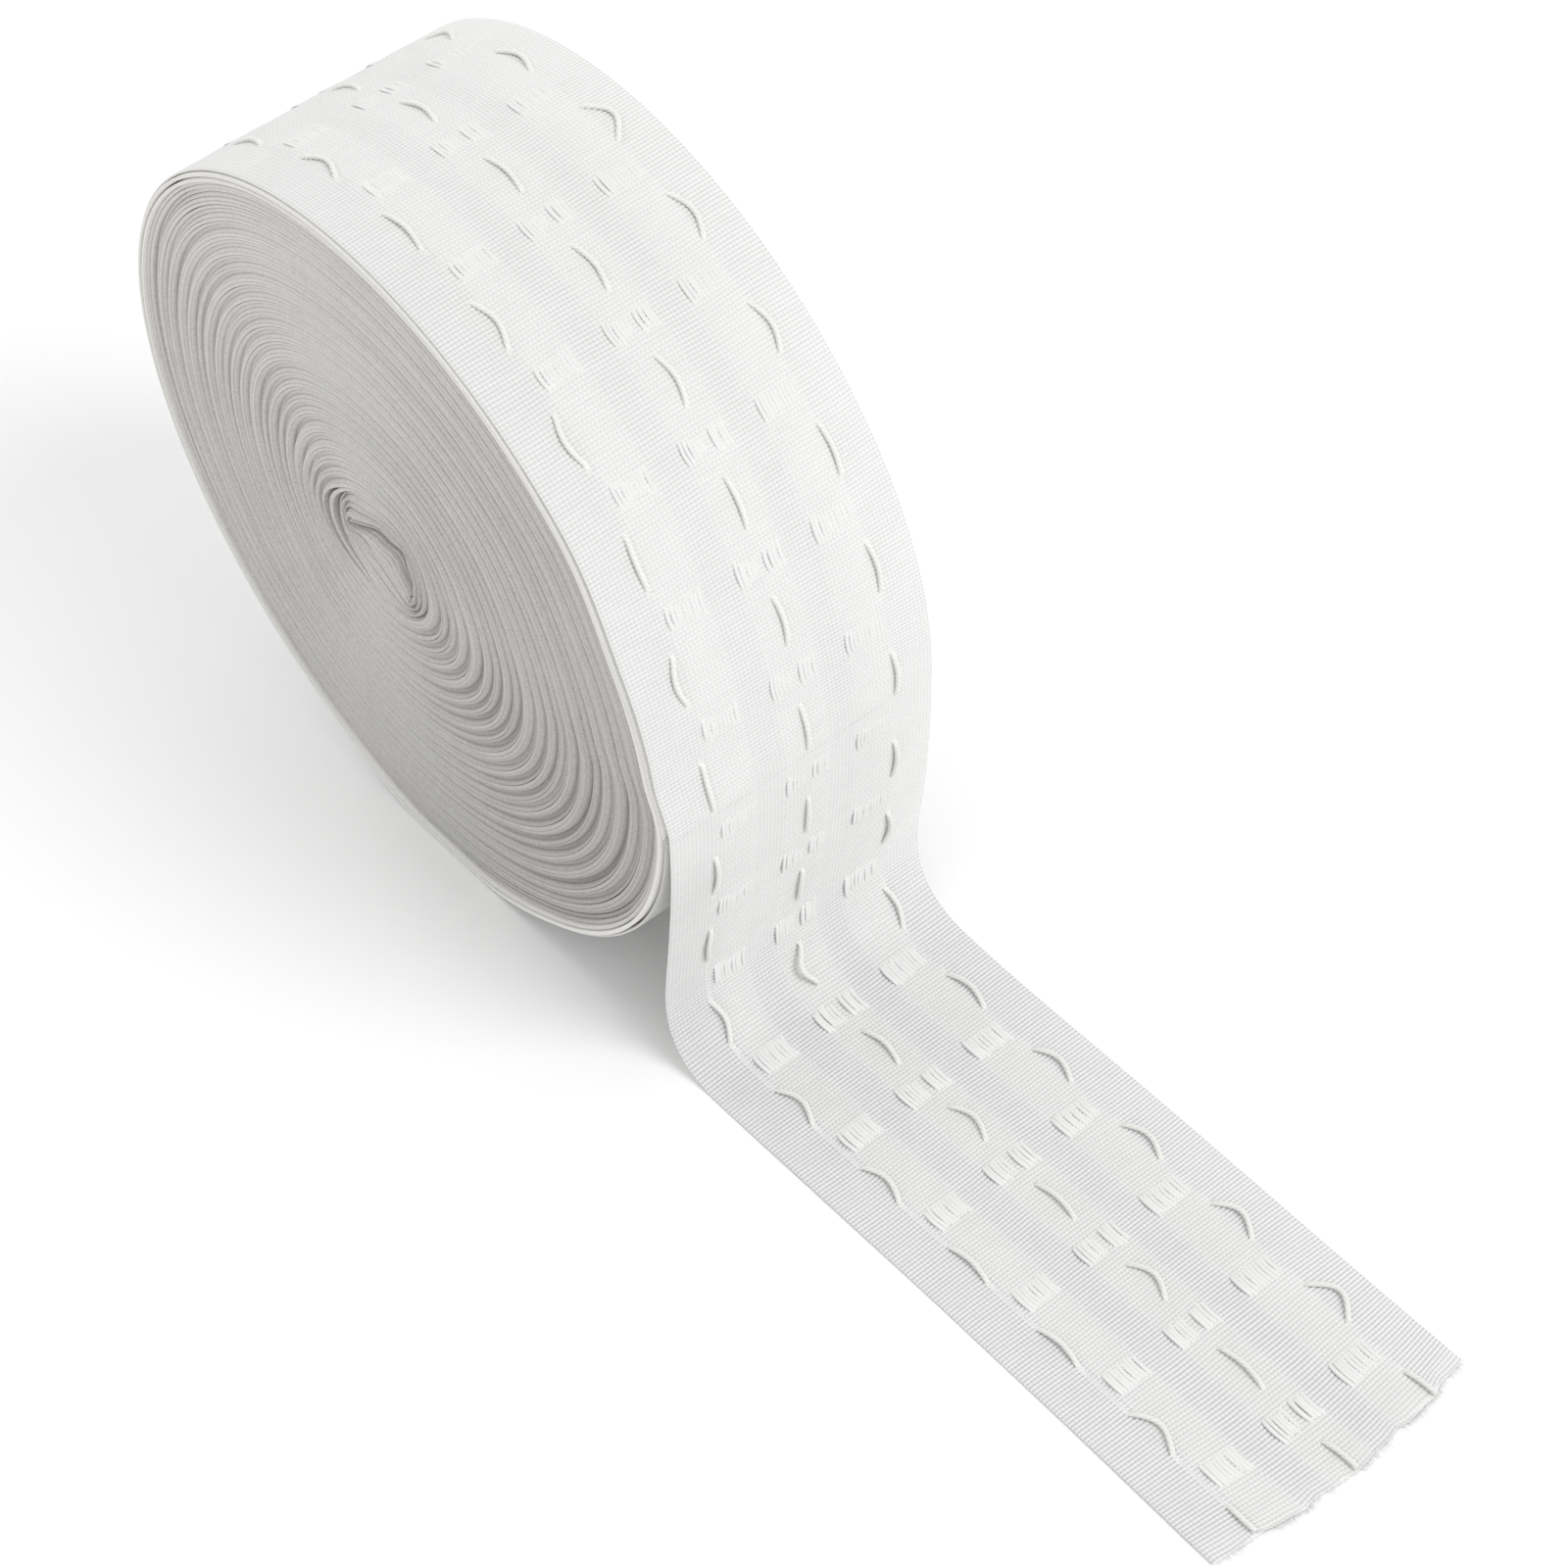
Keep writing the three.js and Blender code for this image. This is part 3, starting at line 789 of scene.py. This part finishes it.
class Finish:
    """One material and its nodes."""

    def __init__(self, name):
        self.material = bpy.data.materials.new(name)
        self.material.use_nodes = True
        self.tree = self.material.node_tree
        self.tree.nodes.clear()

    def node(self, kind, settings=None, values=(), output=0):
        """Adds a node with its settings, feeds it and returns the reading of one output."""
        made = self.tree.nodes.new(kind)
        for name, setting in (settings or {}).items():
            setattr(made, name, setting)
        pairs = values.items() if isinstance(values, dict) else enumerate(values)
        for place, value in pairs:
            if isinstance(value, Reading):
                self.tree.links.new(value.socket, made.inputs[place])
            else:
                made.inputs[place].default_value = value
        return Reading(self, made.outputs[output]) if len(made.outputs) else None

    def lay(self):
        """The values that each point keeps: across the tape or round the cord, along it, and a third.
        That is 1 on the tape's edges, the turn in the roll, how free a cord is, or a pocket float's number."""
        read = self.node("ShaderNodeAttribute", {"attribute_name": "lay"}, (), "Vector")
        return [self.node("ShaderNodeSeparateXYZ", None, [read], part) for part in range(3)]

    def noise(self, scale, detail):
        """Noise in the object's own space. scale is the number of its grains in a metre."""
        place = self.node("ShaderNodeTexCoord", None, (), "Object")
        return self.node("ShaderNodeTexNoise", None, {"Vector": place, "Scale": scale, "Detail": detail})

    def laid_noise(self, across, along, scale, detail):
        """Noise on the tape's own lay, in grains a millimetre."""
        place = self.node("ShaderNodeCombineXYZ", None, [across, along, 0.0])
        return self.node("ShaderNodeTexNoise", None, {"Vector": place, "Scale": scale, "Detail": detail})

    def mixed(self, share, first, second):
        """A colour between two others."""
        made = self.tree.nodes.new("ShaderNodeMix")
        made.data_type = "RGBA"
        for place, value in ((0, share), (6, first), (7, second)):
            if isinstance(value, Reading):
                self.tree.links.new(value.socket, made.inputs[place])
            else:
                made.inputs[place].default_value = value
        return Reading(self, made.outputs[2])

    def shaded(self, shade, light, dark):
        """A colour that goes from light to dark as shade goes from 0 to 1."""
        return self.mixed(shade.worked("MAXIMUM", shade, 0.0), light, dark)

    def cloth(self, colour, height, distance, roughness, sheen=0.0):
        """Ends the material as matt cloth whose bump is height times distance, in metres."""
        bump = self.node("ShaderNodeBump", None, {"Strength": 1.0, "Distance": distance, "Height": height})
        shader = self.node(
            "ShaderNodeBsdfPrincipled",
            None,
            {
                "Base Color": colour,
                "Roughness": roughness,
                "Normal": bump,
                "Specular IOR Level": 0.25,
                "Sheen Weight": sheen,
                "Sheen Roughness": 0.6,
            },
        )
        self.node("ShaderNodeOutputMaterial", None, [shader])
        return self.material


def with_alpha(colour):
    return (*colour, 1.0)


def darker(colour, share):
    return (*(part * share for part in colour), 1.0)


def woven_tape_finish(sizes, colours):
    """White woven tape: ribs across the plain zones, and a checked weave in the denser ones."""
    finish = Finish("woven tape")
    across, along, edge = finish.lay()
    rib_pitch = in_mm(sizes.rib_pitch)
    frayed = across + (finish.laid_noise(across * 0.6, along, 1.0, 2.0) - 0.5) * 2.4
    dense = sum(frayed.window(start, end, 0.6) for start, end in DENSE_ZONES)
    valley = along.wave(rib_pitch) ** 2
    odd_rib = finish.node("ShaderNodeMath", {"operation": "PINGPONG"}, [along / rib_pitch, 1.0])
    thread = across * (2 * math.pi / THREAD_PITCH) + odd_rib * math.pi
    check = 0.5 + 0.5 * thread.worked("COSINE", thread)
    bead = across.wave(THREAD_PITCH)
    tone = finish.laid_noise(across, along, 0.09, 3.0)
    speckle = finish.laid_noise(across, along, 2.3, 3.0)
    yarn = finish.laid_noise(across * 0.12, along, 1.1, 2.0)
    lying = 1 - along.ramp(160, 192)
    whiter = 1 - (1 - dense) * lying
    face = finish.mixed(whiter, with_alpha(colours.plain_cloth), with_alpha(colours.dense_cloth))
    cloth = finish.mixed(edge, face, with_alpha(colours.selvedge))
    # Painted shade in the weave's hollows: the rib valleys (most where the tape lies on the floor), the gaps
    # between the threads and the low squares of the check are darkened
    shade = valley * (0.2 + 0.18 * lying) * (1 - 0.4 * dense) + check * dense * 0.09
    shade = (shade + bead * (1 - dense) * 0.1) * (1 - edge)
    # Shading that the photograph has at the bend, on the drop and the roll, and on the far side
    shade = shade + 0.02 + along.window(122, 176, 10) * 0.03 - across.ramp(52, 75) * 0.07
    shade = shade + along.window(174, 226, 12) * (1 - across.ramp(6, 20)) * 0.1
    shade = shade + (1 - lying) * 0.03
    shade = shade + (tone - 0.5) * 0.07 + (speckle - 0.5) * 0.15 + (yarn - 0.5) * 0.12
    colour = finish.shaded(shade, cloth, darker(colours.plain_cloth, 0.25))
    height = (1 - check) * dense * 0.55 + (1 - bead) * (1 - dense) * 0.3
    height = height + speckle * 0.45 + yarn * 0.3 - valley * 0.3
    return finish.cloth(colour, height, 0.12 * MM, 0.92, 0.08)


def tape_edge_finish(sizes, colours):
    """The edges of the wound turns: matt, fuzzy and a little greyer than the tape's face, a grey that is
    painted shade of the roll's end faces.
    """
    finish = Finish("tape edges")
    inwards, along, turn = finish.lay()
    # Between the turns it grows dark inwards from both end faces: painted shade in the gaps between the turns.
    hidden = inwards.window(1.8, BAND_WIDTH - 1.8, 1.7)
    loops = along.wave(in_mm(sizes.rib_pitch))
    grain = finish.noise(1500.0, 3.0)
    patch = finish.noise(55.0, 2.0)
    place = finish.node("ShaderNodeTexCoord", None, (), "Object")
    back, up = (finish.node("ShaderNodeSeparateXYZ", None, [place], part) for part in (1, 2))
    # Shading that the photograph has on the end face, darker low down and in front
    lower = 0.22 - back * 1.6 - (up - ROLL_CENTRE_Z * MM) * 1.5
    place = finish.node("ShaderNodeCombineXYZ", None, [turn * 1.7, along * 0.01, 0.0])
    by_turn = finish.node("ShaderNodeTexNoise", None, {"Vector": place, "Scale": 1.0, "Detail": 1.0})
    shade = (grain - 0.5) * 0.42 + (patch - 0.5) * 0.12 + (by_turn - 0.5) * 0.1 + loops * 0.04
    wound = turn.ramp(2.7, 3.1)
    shade = (shade + lower) * wound + hidden * 0.6
    edge = finish.mixed(wound, with_alpha(colours.selvedge), with_alpha(colours.edge))
    colour = finish.shaded(shade, edge, darker(colours.edge, 0.3))
    height = grain * 0.8 + loops * 0.25
    return finish.cloth(colour, height, 0.26 * MM, 0.95, 0.1)


def cord_finish(sizes, colours):
    """Twisted white cord."""
    finish = Finish("twisted cord")
    around, along, _ = finish.lay()
    strand = (around * CORD_STRANDS - along * (1 / in_mm(sizes.cord_lay))) * (2 * math.pi)
    groove = 0.5 - 0.5 * strand.worked("COSINE", strand)
    fibre = finish.noise(2600.0, 2.0)
    # The grooves between the strands are darkened: painted shade
    shade = groove * 0.1 + (fibre - 0.5) * 0.14 + 0.03
    colour = finish.shaded(shade, with_alpha(colours.cord), darker(colours.cord, 0.3))
    return finish.cloth(colour, fibre * 0.6 + groove * 0.2, 0.08 * MM, 0.85, 0.1)


def float_finish(colours):
    """The yarn of the pocket floats, brighter than the cloth round them."""
    finish = Finish("pocket yarn")
    across, along, number = finish.lay()
    fibre = finish.laid_noise(across * 5, along, 1.3, 3.0)
    by_float = finish.laid_noise(across * 0.9 + number * 3.1, along * 0.05, 1.0, 0.0)
    # The floats are darker from where the tape is pulled tight and all over the roll: painted shade
    shade = (fibre - 0.5) * 0.14 + (by_float - 0.5) * 0.1 + 0.04 + along.ramp(*PULLED_TIGHT) * 0.06
    colour = finish.shaded(shade, with_alpha(colours.pocket_yarn), darker(colours.pocket_yarn, 0.3))
    return finish.cloth(colour, fibre, 0.08 * MM, 0.88, 0.1)


def floor_finish(colours):
    finish = Finish("pale floor")
    patch = finish.noise(3.0, 2.0)
    colour = finish.mixed(patch * 0.04, with_alpha(colours.floor), darker(colours.floor, 0.8))
    return finish.cloth(colour, patch, 0.01 * MM, 0.9)


# What a user would change


def length_setting(name, description, default):
    return bpy.props.FloatProperty(
        name=name, description=description, default=default * MM, min=0.0, precision=5, unit="LENGTH"
    )


def colour_setting(name, description, default):
    return bpy.props.FloatVectorProperty(
        name=name, description=description, default=default, min=0.0, max=1.0, size=3, subtype="COLOR"
    )


class HeadingTapeSizes(bpy.types.PropertyGroup):
    cloth_thickness: length_setting("Cloth thickness", "Thickness of the woven tape", 0.62)
    rib_pitch: length_setting("Rib pitch", "Distance between two ribs along the tape", 0.98)
    rib_depth: length_setting("Rib depth", "Depth of the grooves between the ribs in the plain zones", 0.36)
    cord_diameter: length_setting("Cord diameter", "Diameter of the draw cords", 1.3)
    cord_lay: length_setting("Cord lay", "Length along the cord from one strand to the next", 1.3)
    float_rise: length_setting("Float rise", "Height of a cord's middle over the cloth where it floats", 0.8)
    pocket_pitch: length_setting("Pocket yarn pitch", "Distance between two yarns of a hook pocket", 1.03)
    pocket_rise: length_setting("Pocket yarn rise", "Height of a pocket yarn's middle over the cloth", 0.08)


class HeadingTapeColours(bpy.types.PropertyGroup):
    plain_cloth: colour_setting("Plain cloth", "The tape in its plain ribbed zones", (0.824, 0.822, 0.83))
    dense_cloth: colour_setting("Dense cloth", "The tape in its denser zones", (0.82, 0.817, 0.811))
    pocket_yarn: colour_setting("Pocket yarn", "The short floats of the hook pockets", (0.812, 0.81, 0.804))
    selvedge: colour_setting("Selvedge", "Edges of the loose end and the outer turns", (0.83, 0.82, 0.79))
    # The tape edges are greyer than the cloth as painted shade of the roll's end faces
    edge: colour_setting("Tape edges", "The edges of the wound turns", (0.725, 0.71, 0.688))
    cord: colour_setting("Draw cord", "The three draw cords", (0.84, 0.835, 0.81))
    floor: colour_setting("Floor", "The plain floor under the roll", (0.95, 0.95, 0.95))


def tape_line(sizes):
    return SideLine(in_mm(sizes.cloth_thickness) + 0.06)


def kept_finish(name, make):
    """The material of that name, made once."""
    return bpy.data.materials.get(name) or make()


class HEADINGTAPE_OT_tape(bpy.types.Operator):
    """Makes the tape's loose end and its outer turn"""

    bl_idname = "heading_tape.tape"
    bl_label = "Loose end and outer turn"

    def execute(self, context):
        sizes = context.scene.heading_tape_sizes
        colours = context.scene.heading_tape_colours
        line = tape_line(sizes)
        woven = kept_finish("woven tape", lambda: woven_tape_finish(sizes, colours))
        rib_pitch = in_mm(sizes.rib_pitch)
        meeting = math.ceil(line.departure_at / rib_pitch) * rib_pitch - rib_pitch / 2
        loose = tape_piece("loose_tape", line, 0, meeting, sizes, woven)
        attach(loose, "root")
        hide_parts("loose_end")
        outer = tape_piece("outer_turn", line, meeting, line.end_at, sizes, woven)
        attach(outer, "root")
        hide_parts("wound_roll")
        return {"FINISHED"}


class HEADINGTAPE_OT_windings(bpy.types.Operator):
    """Makes the turns of tape inside the outer one"""

    bl_idname = "heading_tape.windings"
    bl_label = "Wound turns"

    def execute(self, context):
        sizes = context.scene.heading_tape_sizes
        colours = context.scene.heading_tape_colours
        edges = kept_finish("tape edges", lambda: tape_edge_finish(sizes, colours))
        wound = wound_piece(tape_line(sizes), sizes, edges)
        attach(wound, "root")
        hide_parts("wound_roll")
        return {"FINISHED"}


class HEADINGTAPE_OT_cords(bpy.types.Operator):
    """Makes the three draw cords"""

    bl_idname = "heading_tape.cords"
    bl_label = "Draw cords"

    def execute(self, context):
        sizes = context.scene.heading_tape_sizes
        colours = context.scene.heading_tape_colours
        line = tape_line(sizes)
        twisted = kept_finish("twisted cord", lambda: cord_finish(sizes, colours))
        for row in CORD_ROWS:
            piece = cord_piece(row, line, sizes, twisted)
            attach(piece, "root")
            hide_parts(f"draw_cord_{row}")
        return {"FINISHED"}


class HEADINGTAPE_OT_yarns(bpy.types.Operator):
    """Makes the floats of the hook pockets and the yarn ends at the cut"""

    bl_idname = "heading_tape.yarns"
    bl_label = "Pocket floats and yarn ends"

    def execute(self, context):
        sizes = context.scene.heading_tape_sizes
        colours = context.scene.heading_tape_colours
        line = tape_line(sizes)
        yarn = kept_finish("pocket yarn", lambda: float_finish(colours))
        for piece in (pocket_piece(line, sizes, yarn), fringe_piece(line, yarn)):
            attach(piece, "root")
        return {"FINISHED"}


def facing(position, back):
    """The matrix of a camera or a lamp at a position, with its back turned this way."""
    return Matrix.Translation(position) @ back.to_track_quat("Z", "Y").to_matrix().to_4x4()


def add_lamp(name, position, size, power):
    lamp = bpy.data.lights.new(name, "AREA")
    lamp.shape = "DISK"
    lamp.size = size
    lamp.energy = power
    placed = bpy.data.objects.new(name, lamp)
    back = (Vector(position) - Vector(LAMP_TARGET)).normalized()
    placed.matrix_world = facing(position, back)
    bpy.context.scene.collection.objects.link(placed)


def add_camera():
    azimuth = math.radians(CAMERA["azimuth"])
    elevation = math.radians(CAMERA["elevation"])
    back = Vector((
        math.sin(azimuth) * math.cos(elevation),
        -math.cos(azimuth) * math.cos(elevation),
        math.sin(elevation),
    ))
    position = (Vector(CAMERA["target"]) + back * CAMERA["distance"]) * MM
    data = bpy.data.cameras.new("photo_camera")
    data.lens = CAMERA["lens"]
    data.sensor_width = CAMERA["sensor"]
    data.clip_start = 0.05
    camera = bpy.data.objects.new("photo_camera", data)
    camera.matrix_world = facing(position, back)
    bpy.context.scene.collection.objects.link(camera)
    bpy.context.scene.camera = camera


class HEADINGTAPE_OT_stage(bpy.types.Operator):
    """Makes the camera, the floor and the lights"""

    bl_idname = "heading_tape.stage"
    bl_label = "Camera, floor and lights"

    def execute(self, context):
        colours = context.scene.heading_tape_colours
        add_camera()
        maker = bmesh.new()
        bmesh.ops.create_circle(maker, cap_ends=True, segments=96, radius=FLOOR_RADIUS)
        bmesh.ops.translate(maker, verts=maker.verts, vec=(0, 0, -FLOOR_LOWERED * MM))
        mesh = bpy.data.meshes.new("floor")
        maker.to_mesh(mesh)
        maker.free()
        mesh.materials.append(floor_finish(colours))
        floor = bpy.data.objects.new("floor", mesh)
        context.scene.collection.objects.link(floor)
        for lamp in LAMPS:
            add_lamp(*lamp)
        world = bpy.data.worlds.new("studio")
        world.use_nodes = True
        sky = world.node_tree.nodes["Background"]
        sky.inputs["Color"].default_value = (1, 1, 1, 1)
        sky.inputs["Strength"].default_value = SKY_STRENGTH
        context.scene.world = world
        context.scene.view_settings.view_transform = "Standard"
        return {"FINISHED"}


class HEADINGTAPE_PT_sidebar(bpy.types.Panel):
    """The heading tape's sizes, colours and pieces"""

    bl_idname = "HEADINGTAPE_PT_sidebar"
    bl_label = "Heading tape"
    bl_space_type = "VIEW_3D"
    bl_region_type = "UI"
    bl_category = "Heading tape"

    def draw(self, context):
        layout = self.layout
        for group in (context.scene.heading_tape_sizes, context.scene.heading_tape_colours):
            box = layout.box()
            for name in group.__annotations__:
                box.prop(group, name)
        for operator in OPERATORS:
            layout.operator(operator.bl_idname)


OPERATORS = (
    HEADINGTAPE_OT_stage,
    HEADINGTAPE_OT_tape,
    HEADINGTAPE_OT_windings,
    HEADINGTAPE_OT_cords,
    HEADINGTAPE_OT_yarns,
)
CLASSES = (HeadingTapeSizes, HeadingTapeColours, *OPERATORS, HEADINGTAPE_PT_sidebar)


def register():
    for made in CLASSES:
        bpy.utils.register_class(made)
    bpy.types.Scene.heading_tape_sizes = bpy.props.PointerProperty(type=HeadingTapeSizes)
    bpy.types.Scene.heading_tape_colours = bpy.props.PointerProperty(type=HeadingTapeColours)


def unregister():
    del bpy.types.Scene.heading_tape_colours
    del bpy.types.Scene.heading_tape_sizes
    for made in reversed(CLASSES):
        bpy.utils.unregister_class(made)


def main():
    register()
    bpy.ops.heading_tape.stage()
    bpy.ops.heading_tape.tape()
    bpy.ops.heading_tape.windings()
    bpy.ops.heading_tape.cords()
    bpy.ops.heading_tape.yarns()


if __name__ == "__main__":
    main()
